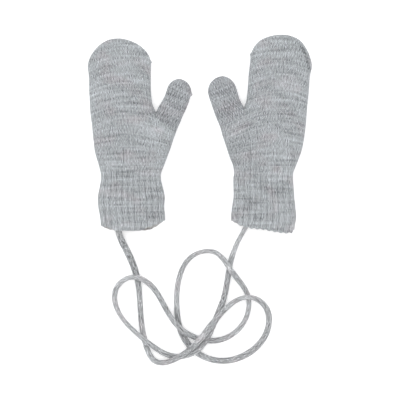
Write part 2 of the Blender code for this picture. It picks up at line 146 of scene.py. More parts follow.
# How finely the pieces are divided, in millimetres along the cloth
COLUMNS = (0.33, 0.55)  # in the upper and the lower layer
CUFF_FINER = 0.9  # share of those widths, in the cuff
ROW = 0.4
ROW_FINENESS = 60  # points to a table's row, to measure lengths
INNER_ROW = 5.5
HEM_ROWS = 5  # round the hem's rim
OUTLINE_STEPS = 10
ON_OUTLINE = 0.3  # where the way in is the outline's own
NEAREST_CHUNK = 4000
MERGE = 0.002
SHARP_ANGLE = 70  # degrees, for an unsmoothed edge
Chart = namedtuple("Chart", "low high left right", defaults=(0.01, 0.99))  # part of a piece's map

# The picture
LENS = 150
SENSOR = 36
FRAME_WIDTH = 320  # at the height of the mittens' outline
FRAME_MIDDLE = -53.2
FLOOR_REACH = 6

FINGER_MIDDLE, THUMB_MIDDLE, CUFF_MIDDLE = 3, 4, 4  # the rows of the tables in mid-length
Course = namedtuple("Course", "far_x far_y near_x near_y")
Side = namedtuple("Side", "y far near")
Hem = namedtuple("Hem", "across front back")
Oval = namedtuple("Oval", "x y turn length width height")  # a fold's depth, or a streak's tone
Nub = namedtuple("Nub", "x y height")
Crossing = namedtuple("Crossing", "upper lower")
Width = namedtuple("Width", "place across")
Mitten = namedtuple("Mitten", "name side apex first_wale scallop palm fingers thumb cuff hem folds "
                              "underfolds nubs streaks")


def table(columns, rows):
    """A table with named columns, from plain rows."""
    return [columns(*row) for row in rows]


LEFT = Mitten(
    name="left",
    side=1,
    apex=-58,
    first_wale=0,
    scallop=0.4,
    palm=table(Course, [
        (-80.8, -26, -28.8, -26), (-84, -15.2, -26.1, -18.8), (-85.4, -4.4, -23.4, -11.6),
        (-86.5, 6.4, -21, -4.4), (-87.8, 17.2, -18.4, 2.8),
    ]),
    fingers=table(Course, [
        (-87.8, 17.2, -35.2, 17.2), (-88.2, 25, -38, 24), (-88.8, 35, -39.2, 34.5),
        (-89, 46, -39.3, 46), (-89.9, 54, -39.1, 55), (-88, 61, -40.4, 61.4),
        (-83.8, 67.4, -44.4, 67.2), (-78.6, 72.2, -50.4, 71.8), (-72.4, 75.2, -58, 75),
        (-65.2, 76.1, -65.2, 76.1),
    ]),
    thumb=table(Course, [
        (-35.2, 17.2, -18.4, 2.8), (-33, 21.8, -15.8, 8.8), (-30.6, 25.6, -13.2, 15),
        (-28.4, 29.8, -10.4, 21), (-26.8, 34.2, -8.2, 27.4), (-25.4, 38.2, -6.8, 32.6),
        (-22.8, 41.4, -7.8, 37.4), (-19.6, 43.2, -10.8, 41.4), (-15.8, 43.7, -15.8, 43.7),
    ]),
    cuff=table(Side, [
        (-26, -80.8, -28.8), (-30.8, -79.6, -30.8), (-36, -79.2, -31.2), (-42.5, -80.2, -29.8),
        (-50.5, -81.6, -28.1), (-58.5, -81.4, -28.6), (-66.5, -80, -27.8), (-74.5, -79.2, -27.6),
    ]),
    hem=table(Hem, [
        (0, -73.6, -73.6), (0.12, -74.4, -76), (0.19, -76.6, -76.4), (0.37, -77.2, -76.8),
        (0.63, -77, -77), (0.71, -74.6, -76.7), (0.8, -73.2, -75.4), (0.9, -71.4, -72.2),
        (1, -68.8, -68.8),
    ]),
    folds=table(Oval, [
        (-40, 6, -38, 26, 7, 0.7), (-66, -18, 8, 30, 6, 0.5), (-72, 40, 65, 34, 9, 0.4),
        (-47, -12, 74, 22, 5, 0.3), (-56, 22, -12, 19, 6, 0.22), (-52, 56, 32, 16, 7, 0.28),
        (-24, 19, -52, 12, 4, 0.45), (-17.5, 31, -30, 11, 3.4, 0.35), (-70, -40, 84, 20, 5, 0.35),
        (-44, -52, 6, 24, 7, 0.3), (-60, -33, -4, 34, 5, 0.3),
    ]),
    underfolds=table(Oval, [
        (-62, 10, 24, 30, 7, 0.35), (-70, 48, -50, 22, 8, 0.3), (-50, -16, -9, 26, 5, 0.3),
        (-58, -50, 80, 22, 6, 0.3),
    ]),
    nubs=[Nub(-39.2, 57.2, 0.9), Nub(-6.8, 31.2, 1.1)],
    streaks=table(Oval, [
        (-75.7, 53.4, 15, 10, 4.5, -0.11), (-44.8, 57.4, -15, 13, 4, 0.08),
        (-73.4, 36.6, 12, 21, 2.8, -0.14), (-47.1, 36.3, -13, 15, 1.8, -0.09),
        (-80.8, 41, 18, 10, 3, 0.08), (-47.7, 24.8, -2, 20, 3, -0.12),
        (-50.5, 16.3, -6, 32, 2.8, -0.12), (-76.2, 17.6, 14, 12, 2, -0.09),
        (-73.6, 0.5, 20, 13, 1.9, -0.13), (-48.2, -4, -4, 22, 2.4, -0.16),
        (-31.1, -6.6, -13, 16, 1.6, -0.09), (-39.6, -1.3, -5, 16, 2.6, 0.07),
        (-30.5, 4.3, 30, 6, 3.2, 0.1), (-61, -14, 90, 4.8, 2.6, -0.14),
        (-60.8, -22, 90, 12, 1.6, -0.12), (-68.2, -16.3, 8, 7, 2.2, -0.1),
        (-45.4, -19.1, 0, 7, 1.6, -0.14), (-70, -22.6, 3, 18, 1.4, 0.13),
        (-70, -25.2, 3, 18, 1.4, 0.11), (-10.5, 33.2, -25, 9, 1.6, -0.14),
        (-16.8, 28.9, -16, 19, 2.4, -0.22), (-19.6, 22, -18, 16, 3, -0.1),
        (-27.1, 10.6, -30, 20, 7, -0.17), (-60.2, -31.2, 0, 21, 2.6, -0.17),
        (-56.8, -45.5, 0, 20, 5, -0.08), (-35.6, -47.7, 0, 14, 2, 0.1), (-76, -46.6, 0, 7, 5, 0.1),
        (-66.5, -51.7, 3, 15, 2.6, -0.16), (-37.4, -50.6, 3, 14, 2.2, -0.16),
        (-71.7, -58.6, 0, 18, 1.8, 0.12), (-40.8, -58, 3, 20, 1.8, 0.12),
        (-63.1, -63.7, 0, 34, 2.2, -0.13), (-39.7, -66, 0, 8, 5, -0.12), (-50, -71, 0, 17, 1.5, -0.15),
    ]),
)

RIGHT = Mitten(
    name="right",
    side=-1,
    apex=62,
    first_wale=75,
    scallop=0.9,
    palm=table(Course, [
        (76.8, -26, 26.4, -26), (81.2, -14.3, 23.4, -18.2), (83.6, -2.6, 20.9, -10.4),
        (84.9, 9.1, 18.2, -2.6), (85.8, 20.8, 16, 5.2),
    ]),
    fingers=table(Course, [
        (85.8, 20.8, 35.2, 20.8), (86.6, 28, 37.2, 27.6), (87.4, 37, 38.2, 37), (88, 46, 38.8, 46.4),
        (89.6, 53.6, 39.8, 56), (88.4, 60.4, 40.6, 63.4), (85.4, 67.4, 43.6, 69.8),
        (80.2, 74.4, 48.8, 75), (72.6, 78.2, 56.4, 78), (64.4, 79, 64.4, 79),
    ]),
    thumb=table(Course, [
        (35.2, 20.8, 16, 5.2), (33.4, 24.2, 13.4, 11.4), (31.6, 28, 11, 17.8), (30.4, 32, 9, 24),
        (29.2, 36.2, 7, 29.6), (27.6, 39.8, 6.3, 34.6), (24.8, 43.2, 7.9, 39.8),
        (21.2, 45.3, 12.2, 44.1), (17.4, 45.9, 17.4, 45.9),
    ]),
    cuff=table(Side, [
        (-26, 76.8, 26.4), (-30.8, 74.8, 27.2), (-36, 74.4, 26.6), (-42.5, 74.9, 26.6),
        (-50.5, 75.4, 26.8), (-58.5, 76.2, 25.6), (-66.5, 76.9, 24.8), (-76.5, 75.6, 25),
    ]),
    hem=table(Hem, [
        (0, -76, -76), (0.05, -78.4, -78.2), (0.19, -78.6, -78.4), (0.35, -77.4, -77.2),
        (0.5, -75.8, -75.6), (0.7, -74.8, -74.8), (0.86, -72.4, -72.6), (1, -68.8, -68.8),
    ]),
    folds=table(Oval, [
        (38, 8, 40, 24, 7, 0.6), (58, -19, -6, 26, 6, 0.5), (70, 34, -70, 36, 9, 0.4),
        (44, -9, -76, 20, 5, 0.28), (60, 16, 14, 22, 6, 0.2), (51, 60, -28, 17, 7, 0.26),
        (21, 20, 50, 12, 4, 0.4), (18, 35, 24, 10, 3.4, 0.35), (64, -44, -82, 22, 5, 0.35),
        (40, -56, -8, 22, 7, 0.3), (52, -33, 3, 32, 5, 0.3),
    ]),
    underfolds=table(Oval, [
        (58, 14, -30, 28, 7, 0.35), (72, 46, 56, 24, 8, 0.3), (46, -14, 12, 24, 5, 0.3),
        (52, -54, -78, 20, 6, 0.3),
    ]),
    nubs=[Nub(40.8, 63.2, 0.9)],
    streaks=table(Oval, [
        (82.4, 66.4, -60, 11, 2.8, -0.36), (86, 56.8, -72, 11, 2.8, -0.34),
        (42.3, 61.4, 80, 7, 1.6, -0.18), (48.3, 50.8, 14, 13, 1.8, -0.12),
        (65.5, 51.1, -6, 17, 2.2, -0.15), (47.8, 43, 22, 13, 3, 0.1), (52.9, 36.3, 0, 11, 6, -0.13),
        (64.9, 31.4, -8, 15, 2.4, -0.11), (78.6, 30, -26, 15, 1.8, 0.16), (68.4, 23.7, 0, 9, 3, -0.16),
        (50.6, 10.6, -2, 12, 2, -0.14), (39.2, 6.7, 14, 13, 2.4, -0.13), (60.3, 6, 0, 6, 3, -0.15),
        (71.2, 0.7, -15, 14, 2.8, -0.17), (28.9, -4, 4, 15, 2.4, -0.13), (54, -10, 0, 17, 1.8, -0.08),
        (39.8, -18, 90, 12, 2.4, -0.12), (74.1, -18, 85, 12, 3.4, -0.13),
        (61.5, -26, 90, 5, 3.4, -0.15), (18, 41.4, 5, 16, 5, 0.06), (19.2, 32.3, 8, 18, 2.2, -0.09),
        (22, 17.5, 18, 20, 7, -0.15), (37, 17.4, -5, 10, 2, -0.12), (49.5, -42, 0, 8, 4.5, -0.17),
        (65, -45.4, 0, 17, 2, -0.08), (38, -56, 90, 16, 11, -0.1), (58, 0, 90, 150, 80, -0.022),
        (55, -50, 0, 10, 2, 0.12), (62.6, -56.3, 0, 11, 4, 0.09), (47.8, -67.2, 0, 12, 2.6, -0.2),
        (36.4, -69.4, -10, 9, 3, 0.12),
    ]),
)

# The cord's way over the surface, from inside the left cuff to inside the right one
CORD_ROUTE = [
    (-66.0, -69.5), (-65.2, -78.0), (-58.0, -95.0), (-50.4, -115.4), (-47.8, -141.0),
    (-43.6, -168.4), (-36.0, -182.2), (-12.0, -175.2), (7.2, -155.2), (24.4, -136.8),
    (39.4, -130.8), (52.6, -139.0), (53.8, -158.0), (39.6, -175.4), (19.6, -182.0),
    (-0.4, -176.8), (-14.6, -160.0), (-18.6, -138.0), (-16.2, -114.0), (-6.0, -98.0),
    (11.6, -95.0), (26.0, -111.0), (38.4, -130.0), (34.6, -152.0), (14.0, -165.6),
    (-9.6, -160.2), (-26.0, -142.6), (-38.2, -122.8), (-53.6, -114.8), (-67.0, -124.0),
    (-64.4, -144.6), (-44.0, -165.0), (-21.0, -178.4), (-2.4, -173.4), (10.6, -153.2),
    (19.6, -129.8), (23.6, -107.4), (29.2, -89.0), (36.4, -75.4), (39.6, -69.5),
]

# Where the cord crosses itself: the places of its upper and lower pass, counted in route points
CORD_CROSSINGS = table(Crossing, [
    (27.8, 3), (31, 4.9), (6.6, 32), (7.2, 15.5), (33, 15.2), (7.6, 24.6), (33.3, 24.4), (25.3, 16.3),
    (8.3, 34.1), (20.8, 36), (10, 22),
])

# How wide the cord, a soft tube that lies flatter in places, looks from above along its route
CORD_WIDTHS = table(Width, [
    (0, 4.6), (1.4, 5.4), (2.6, 5.3), (4.2, 4.3), (6, 4.5), (8, 4.8), (9.6, 3.7), (11, 4.9), (12.2, 4.6),
    (13.2, 5.1), (16.4, 4.8), (18, 4.1), (19.4, 3.5), (21, 4.5), (22.2, 3.9), (25, 4.4), (27, 4.6),
    (28.3, 3.7), (29.2, 4.3), (30.2, 3.8), (32.5, 4.4), (34.8, 5), (36, 4.5), (37.2, 3.6), (39, 4),
])


def smoothstep(value):
    value = np.clip(value, 0, 1)
    return value * value * (3 - 2 * value)


def curve(points, before, after, places):
    """Points on the smooth curve through points, at places counted in points."""
    ends = np.array([before, *points, after], float)
    places = np.asarray(places, float)
    step = np.minimum(places.astype(int), len(points) - 2)
    share = (places - step)[:, None]
    a, b, c, d = (ends[step + offset] for offset in range(4))
    pull, push = (c - a) / 2, (d - b) / 2
    square, cube = share ** 2, share ** 3
    return (b * (2 * cube - 3 * square + 1) + pull * (cube - 2 * square + share)
            + c * (3 * square - 2 * cube) + push * (cube - square))


def lengths_to(points):
    """How far along the line through the points each of them is."""
    return np.concatenate([[0], np.cumsum(norm(np.diff(points, axis=0), axis=1))])


def units(vectors):
    return vectors / norm(vectors, axis=1)[:, None]


def ovals_at(points, ovals):
    """The height of the sum of soft ovals at points of the plan."""
    total = np.zeros(len(points))
    for row in ovals:
        turn = radians(row.turn)
        offset = points - (row.x, row.y)
        along = offset[:, 0] * cos(turn) + offset[:, 1] * sin(turn)
        across = offset[:, 1] * cos(turn) - offset[:, 0] * sin(turn)
        reach = (2 * along / row.length) ** 2 + (2 * across / row.width) ** 2
        total += row.height * np.exp(-reach)
    return total


def look_up(rows, known, wanted, values):
    """The wanted column where the known one has the values, on the smooth curve through the rows."""
    points = np.array([(getattr(row, known), getattr(row, wanted)) for row in rows])
    way = np.sign(points[-1, 0] - points[0, 0])
    places = np.interp(values * way, points[:, 0] * way, np.arange(len(points)))
    return curve(points, points[0], points[-1], places)[:, 1]


class Shape:
    """The outline of one mitten, and the curves along its pieces."""

    def __init__(self, mitten):
        self.mitten = mitten
        self.palm = self.ends(mitten.palm)
        self.fingers = self.ends(mitten.fingers)
        self.thumb = self.ends(mitten.thumb)
        self.outline = self.trace()
        self.inward = self.normals()

    @staticmethod
    def ends(courses):
        rows = np.array(courses, float)
        return rows[:, :2], rows[:, 2:]

    def palm_ends(self, places):
        far, near = self.palm
        cuff = self.mitten.cuff[1]
        return (curve(far, (cuff.far, cuff.y), self.fingers[0][1], places),
                curve(near, (cuff.near, cuff.y), self.thumb[1][1], places))

    def finger_ends(self, places):
        far, near = self.fingers
        return (curve(far, self.palm[0][-2], near[-2], places),
                curve(near, near[0] * 2 - near[1], far[-2], places))

    def thumb_ends(self, places):
        far, near = self.thumb
        return (curve(far, far[0] * 2 - far[1], near[-2], places),
                curve(near, self.palm[1][-2], far[-2], places))

    def trace(self):
        """The outline from the hem's far corner round the tips to its near corner."""
        def places(points):
            return np.linspace(0, len(points) - 1, (len(points) - 1) * OUTLINE_STEPS + 1)
        cuff = self.mitten.cuff
        sides = ([(side.far, side.y) for side in cuff], [(side.near, side.y) for side in cuff])
        far_side, near_side = (curve(side, side[0], side[-1], places(side)) for side in sides)
        palm_far, palm_near = self.palm_ends(places(self.palm[0]))
        finger_far, finger_near = self.finger_ends(places(self.fingers[0]))
        thumb_far, thumb_near = self.thumb_ends(places(self.thumb[0]))
        return np.concatenate([
            far_side[::-1], palm_far[1:], finger_far[1:], finger_near[-2::-1],
            thumb_far[1:], thumb_near[-2::-1], palm_near[-2::-1], near_side[1:]])

    def normals(self):
        """The way into the cloth at each point of the outline."""
        spans = np.diff(self.outline, axis=0)
        sides = units(np.column_stack([spans[:, 1], -spans[:, 0]]) * self.mitten.side)
        return units(np.vstack([sides[:1], sides]) + np.vstack([sides, sides[-1:]]))

    def nearest(self, points):
        """How far each point of the plan is from the outline, and the way in from there."""
        start, along = self.outline[:-1], np.diff(self.outline, axis=0)
        squares = (along ** 2).sum(1)
        found = []
        for some in np.array_split(points, len(points) // NEAREST_CHUNK + 1):
            offset = some[:, None] - start
            share = ((offset * along).sum(2) / squares).clip(0, 1)
            gap = offset - along * share[..., None]
            apart = (gap ** 2).sum(2)
            best = apart.argmin(1)
            rows = np.arange(len(some))
            distance = np.sqrt(apart[rows, best])
            part = share[rows, best][:, None]
            edge = self.inward[best] * (1 - part) + self.inward[best + 1] * part
            way = units(np.where((distance > ON_OUTLINE)[:, None], gap[rows, best], edge))
            found.append(np.column_stack([distance, way]))
        found = np.concatenate(found)
        return found[:, 0], found[:, 1:]

    def wall(self, points, layer, on_edge):
        """The cloth's plain outer face over points of the plan, its outward direction, and the
        points' places in the plan if the round edge were rolled out flat."""
        distance, inward = self.nearest(points)
        distance = np.where(on_edge, 0, distance)
        reach = np.minimum(distance, EDGE)
        level = 1 - reach / EDGE
        rise = np.sqrt(1 - level ** 2) * layer
        soft = smoothstep(reach / EDGE)
        if layer > 0:
            lift = DOME * smoothstep(distance / DOME_REACH)
            lift = lift - ovals_at(points, self.mitten.folds) * soft
        else:
            lift = ovals_at(points, self.mitten.underfolds) * soft
        lift = np.where(on_edge, 0, lift)
        outer = np.column_stack([points, EDGE + EDGE * rise + lift])
        outward = np.column_stack([-inward * level[:, None], rise])
        for nub in self.mitten.nubs:
            squares = ((points - (nub.x, nub.y)) ** 2).sum(1)
            outer += outward * (nub.height * np.exp(-squares / NUB_REACH ** 2))[:, None]
        rolled = EDGE * np.arccos(level.clip(0, 1)) - EDGE_EXTRA - reach
        return outer, outward, points + inward * rolled[:, None]


def arc_steps(length, count, start=True, end=True):
    """Distances from 0 to length that are even along cloth which rolls over a round edge at its
    start, its end or both."""
    radius = min(EDGE, length / (start + end))
    bend = radius * pi / 2
    saved = bend - radius
    along = np.linspace(0, length + saved * (start + end), count + 1)
    places = along - saved * start
    if start:
        places = np.where(along < bend, radius * (1 - np.cos(along / radius)), places)
    if end:
        left = along[-1] - along
        places = np.where(left < bend, length - radius * (1 - np.cos(left / radius)), places)
    places[0], places[-1] = 0, length
    return places


def columns_for(width, step):
    return round((width + 2 * EDGE_EXTRA) / step)


def seam_row(shape, count):
    """The thumb's seam, from the crotch across to the mitten's near edge."""
    start, end = (side[0] for side in shape.thumb_ends([0]))
    along = end - start
    length = norm(along)
    down = np.array([along[1], -along[0]]) / length * shape.mitten.side
    shares = (arc_steps(length, count) / length)[:, None]
    bow = np.sin(pi * np.clip(shares, 0, 1) ** SEAM_LEAN)
    return start + along * shares + down * SEAM_SAG * bow


def row_places(ends_at, last_place, step, tip):
    """Places of rows that are even along the cloth, down to a round tip."""
    fine = np.linspace(0, last_place, last_place * ROW_FINENESS + 1)
    far, near = ends_at(fine)
    lengths = lengths_to((far + near) / 2)
    count = round((lengths[-1] + (EDGE_EXTRA if tip else 0)) / step)
    return np.interp(arc_steps(lengths[-1], count, start=False, end=tip), lengths, fine)


def palm_rows(shape, finger_columns, thumb_columns):
    """Rows from the wrist up to the bent line through the crotch and the thumb's seam."""
    start, crotch = (side[0] for side in shape.finger_ends([0]))
    width = norm(crotch - start)
    shares = (arc_steps(width, finger_columns) / width)[:, None]
    last = np.vstack([start + (crotch - start) * shares, seam_row(shape, thumb_columns)[1:]])
    chord = last[-1] - last[0]
    last_shares = (last - last[0]) @ chord / (chord @ chord)
    bends = last - last[0] - chord * last_shares[:, None]
    wrist_width = abs(shape.palm[1][0][0] - shape.palm[0][0][0])
    wrist_shares = arc_steps(wrist_width, len(last) - 1) / wrist_width
    last_place = len(shape.mitten.palm) - 1
    places = row_places(shape.palm_ends, last_place, ROW, tip=True)
    far, near = shape.palm_ends(places)
    height = (places / last_place)[:, None]
    across = wrist_shares + (last_shares - wrist_shares) * height
    return (far[:, None] + (near - far)[:, None] * across[..., None]
            + bends * (height ** 2)[..., None])


def tip_rows(ends_at, courses, column):
    """Rows that narrow to one point at the tip."""
    places = row_places(ends_at, len(courses) - 1, ROW, tip=True)
    far, near = ends_at(places)
    widths = norm(near - far, axis=1)
    count = columns_for(widths[0], column)
    rows = []
    for start, end, width in zip(far, near, widths):
        shares = arc_steps(width, count) / width if width > MERGE else np.linspace(0, 1, count + 1)
        rows.append(start + (end - start) * shares[:, None])
    return np.array(rows)


def thumb_rows(shape, column):
    """The thumb's rows, the first of them along its seam."""
    rows = tip_rows(shape.thumb_ends, shape.mitten.thumb, column)
    bends = seam_row(shape, rows.shape[1] - 1) - rows[0]
    left = smoothstep(1 - np.linspace(0, 1, len(rows)) / SEAM_REACH)
    return rows + bends * left[:, None, None]


def leg(x, y):
    """Height of one leg of a stitch, from its foot at y = 0 up to where the next one hides it."""
    along = y / LEG_LENGTH
    across = (x - LEG_FOOT - (LEG_TOP - LEG_FOOT) * along) / LEG_WIDTH
    ends = np.clip(1 - (2 * along - 1) ** 2, 0, 1)
    return np.sqrt(np.clip(1 - across ** 2, 0, 1) * ends)


def stocking(u, v):
    """Height of stocking stitch, from 0 in its gaps to about 1 on the yarn."""
    x = np.abs(u - np.floor(u) - 0.5)
    y = v - np.floor(v)
    return np.maximum(leg(x, y), leg(x, y + 1))


def rib(across, v, grown):
    """Places across the wales, the stitches' height, and how far down in a valley each point is.
    A rib is two wales of stocking stitch and a narrow purl wale. Across is counted in ribs."""
    number = np.floor(across)
    place = across - number
    knit_wale = 0.5 - PURL
    u = np.where(place < PURL, (place + PURL) / (2 * PURL) - 1,
                 np.where(place > 1 - PURL, 2 + (place - 1 + PURL) / (2 * PURL),
                          (place - PURL) / knit_wale)) + 3 * number
    from_valley = np.minimum(place, 1 - place) / PURL
    bars = PURL_HEIGHT * (1 + np.sin(pi * (v - np.floor(v))))
    knit = stocking(u, v)
    height = knit + (np.where(from_valley < 1, bars, knit) - knit) * grown
    return u, height, (1 - smoothstep(from_valley * VALLEY_FADE)) * grown


class Cloth:
    """Collects grids of points into one closed shell."""

    def __init__(self, name):
        self.name = name
        self.points, self.faces, self.knit, self.chart = [], [], [], []
        self.values = {"tone": [], "valley": [], "inside": []}
        self.count = 0

    def grid(self, points, knit, chart, tone=0, valley=0, inside=0):
        """Adds a grid, with its places in stitches and the part of the map for its colours."""
        rows, columns = points.shape[:2]
        index = self.count + np.arange(rows * columns).reshape(rows, columns)
        self.faces.append(np.stack(
            [index[:-1, :-1], index[:-1, 1:], index[1:, 1:], index[1:, :-1]], -1).reshape(-1, 4))
        across, up = np.meshgrid(np.linspace(chart.left, chart.right, columns),
                                 np.linspace(chart.low, chart.high, rows))
        self.points.append(points.reshape(-1, 3))
        self.knit.append(knit.reshape(-1, 2))
        for name, value in (("tone", tone), ("valley", valley), ("inside", inside)):
            self.values[name].append(np.broadcast_to(value, (rows, columns)).reshape(-1))
        self.chart.append(np.stack([across, up], -1).reshape(-1, 2))
        self.count += rows * columns

    def finish(self, material):
        faces = np.concatenate(self.faces)
        mesh = bpy.data.meshes.new(self.name)
        mesh.from_pydata((np.concatenate(self.points) * MM).tolist(), [], faces.tolist())
        corners = faces.reshape(-1)
        for name, values in (("OFBake", self.chart), ("Knit", self.knit)):
            layer = mesh.uv_layers.new(name=name)
            layer.uv.foreach_set("vector", np.concatenate(values)[corners].astype(np.float32).ravel())
        for name, values in self.values.items():
            attribute = mesh.attributes.new(name, "FLOAT", "POINT")
            attribute.data.foreach_set("value", np.concatenate(values).astype(np.float32))
        joined = bmesh.new()
        joined.from_mesh(mesh)
        bmesh.ops.remove_doubles(joined, verts=joined.verts, dist=MERGE * MM)
        bmesh.ops.recalc_face_normals(joined, faces=joined.faces)
        joined.to_mesh(mesh)
        joined.free()
        mesh.shade_smooth()
        mesh.set_sharp_from_angle(angle=radians(SHARP_ANGLE))
        mesh.materials.append(material)
        return add_object(self.name, mesh)


def add_object(name, data):
    obj = bpy.data.objects.new(name, data)
    bpy.context.collection.objects.link(obj)
    return obj


def tube(shape, upper, lower, tip=False):
    """The plain outer face of a tube round both layers, its outward direction and its rolled-out
    places. The lower rows run back to where the upper ones started."""
    lower = lower[:, -2:0:-1]
    parts = []
    for plan, layer in ((upper, 1), (lower, -1)):
        on_edge = np.zeros(plan.shape[:2], bool)
        if layer > 0:
            on_edge[:, [0, -1]] = True
        if tip:
            on_edge[-1] = True
        faces = shape.wall(plan.reshape(-1, 2), layer, on_edge.reshape(-1))
        parts.append([face.reshape(*plan.shape[:2], -1) for face in faces])
    return [np.concatenate([*pair, pair[0][:, :1]], axis=1) for pair in zip(*parts)]


def both_faces(cloth, layers, charts, step, valley=0):
    """The outer face, and the inner one in a few rows, with the first and the last."""
    face, inner, knit, tone = layers
    cloth.grid(face, knit, charts[0], tone, valley)
    count = max(2, round(len(inner) * ROW / step) + 1)
    rows = np.unique(np.linspace(0, len(inner) - 1, count).astype(int))
    cloth.grid(inner[rows], knit[rows], charts[1], inside=1)


def rim(cloth, layers, place, chart, beyond=None):
    """The end of a wall at a place of its layers, flat, or round where it reaches beyond them."""
    outer, inner, knit, tone = (layer[place] for layer in layers)
    middle, half = (outer + inner) / 2, (outer - inner) / 2
    turns = np.linspace(0, pi, 2 if beyond is None else HEM_ROWS + 1)
    reach = 0 if beyond is None else np.array(beyond)
    rows = np.array([middle + half * cos(turn) + reach * sin(turn) for turn in turns])
    rows[0], rows[-1] = outer, inner
    knits = np.repeat(knit[None], len(rows), axis=0)
    cloth.grid(rows, knits, chart, tone, inside=np.linspace(0, 1, len(rows))[:, None])


def hand_grain(shape, rolled):
    """Places in the hand's pattern. Its wales lean with the fingers and fan out at the tip, and
    its courses bow up in the middle."""
    wrist = shape.palm[0][0][1]
    middle = (shape.palm[0][0][0] + shape.palm[1][0][0]) / 2
    tip = shape.fingers[0][-1]
    half = abs(shape.fingers[0][FINGER_MIDDLE][0] - shape.fingers[1][FINGER_MIDDLE][0]) / 2
    x, y = rolled[..., 0], rolled[..., 1]
    up = y - wrist
    across = x - middle + shape.mitten.side * LEAN * up * smoothstep(up / (tip[1] - wrist))
    fan = FAN * smoothstep((y - tip[1] + FAN_REACH) / FAN_REACH)
    across = across - (x - tip[0]) * fan
    from_apex = np.clip((x - shape.mitten.apex) / half, -ARCH_LIMIT, ARCH_LIMIT)
    bow = ARCH * from_apex ** 2 * smoothstep(up / ARCH_START)
    return np.stack([across / WALE + 0.5 + shape.mitten.first_wale, (up + bow) / COURSE], -1)


def thumb_grain(shape, rolled):
    """Places in the thumb's pattern, whose wales run along the thumb."""
    far, near = shape.thumb
    start, middle = ((far[row] + near[row]) / 2 for row in (0, THUMB_MIDDLE))
    along = (middle - start) / norm(middle - start)
    across = np.array([along[1], -along[0]])
    offset = rolled - start
    return np.stack([offset @ across / THUMB_WALE + 0.5 + shape.mitten.first_wale,
                     offset @ along / COURSE], -1)


def tones(shape, plan):
    return ovals_at(plan.reshape(-1, 2), shape.mitten.streaks).reshape(plan.shape[:-1])


def knitted(shape, faces, grain, joined=True):
    """The layers of a piece in stocking stitch: its outer face, with the stitches pressed in but
    where it joins on, its inner face, its places in the pattern and its tones."""
    outer, outward, rolled = faces
    knit = grain(shape, rolled)
    depth = (1 - stocking(knit[..., 0], knit[..., 1])) * STITCH_DEPTH
    if joined:
        depth[0] = STITCH_DEPTH * JOINT_SHARE
    return outer - outward * depth[..., None], outer - outward * WALL, knit, tones(shape, rolled)


def hand(shape, material):
    """The palm and the fingers, with the thumb's opening between them."""
    cloth = Cloth(shape.mitten.name + "_hand_knit")
    width = norm(shape.fingers[1][0] - shape.fingers[0][0])
    opening = norm(shape.thumb[1][0] - shape.thumb[0][0])
    fine, coarse = ([columns_for(width, step), columns_for(opening, step)]
                    for step in COLUMNS)
    palm = tube(shape, palm_rows(shape, *fine), palm_rows(shape, *coarse))
    rows = [tip_rows(shape.finger_ends, shape.mitten.fingers, step) for step in COLUMNS]
    fingers = tube(shape, *rows, tip=True)
    crotch = fine[0]
    crotch_below = sum(fine) + coarse[1]
    for below, above in zip(palm, fingers):
        below[-1, crotch] = below[-1, crotch_below] = above[0, crotch]
    palm, fingers = knitted(shape, palm, hand_grain), knitted(shape, fingers, hand_grain, joined=False)
    both_faces(cloth, palm, (Chart(0.01, 0.38), Chart(0.4, 0.45)), INNER_ROW)
    both_faces(cloth, fingers, (Chart(0.47, 0.91), Chart(0.93, 0.98)), INNER_ROW)
    rim(cloth, palm, 0, Chart(0.985, 0.995, right=0.49))
    rim(cloth, palm, (-1, slice(crotch, crotch_below + 1)), Chart(0.985, 0.995, left=0.51))
    return cloth.finish(material)


def thumb(shape, material):
    cloth = Cloth(shape.mitten.name + "_thumb_knit")
    rows = [thumb_rows(shape, step) for step in COLUMNS]
    layers = knitted(shape, tube(shape, *rows, tip=True), thumb_grain)
    both_faces(cloth, layers, (Chart(0.01, 0.8), Chart(0.82, 0.94)), INNER_ROW / 2)
    rim(cloth, layers, 0, Chart(0.96, 0.99))
    return cloth.finish(material)


def cuff_rows(shape, downs, column, layer):
    """Rows of one layer of the cuff from the wrist to the hem."""
    cuff = shape.mitten.cuff
    top = cuff[0].y
    width = abs(cuff[CUFF_MIDDLE].near - cuff[CUFF_MIDDLE].far)
    shares = arc_steps(width, columns_for(width, column * CUFF_FINER)) / width
    ends = look_up(shape.mitten.hem, "across", layer, shares)
    heights = top + (ends - top) * downs[:, None]
    far = look_up(cuff, "y", "far", heights[:, 0])
    near = look_up(cuff, "y", "near", heights[:, -1])
    x = far[:, None] + (near - far)[:, None] * shares
    return np.stack([x, heights], -1)


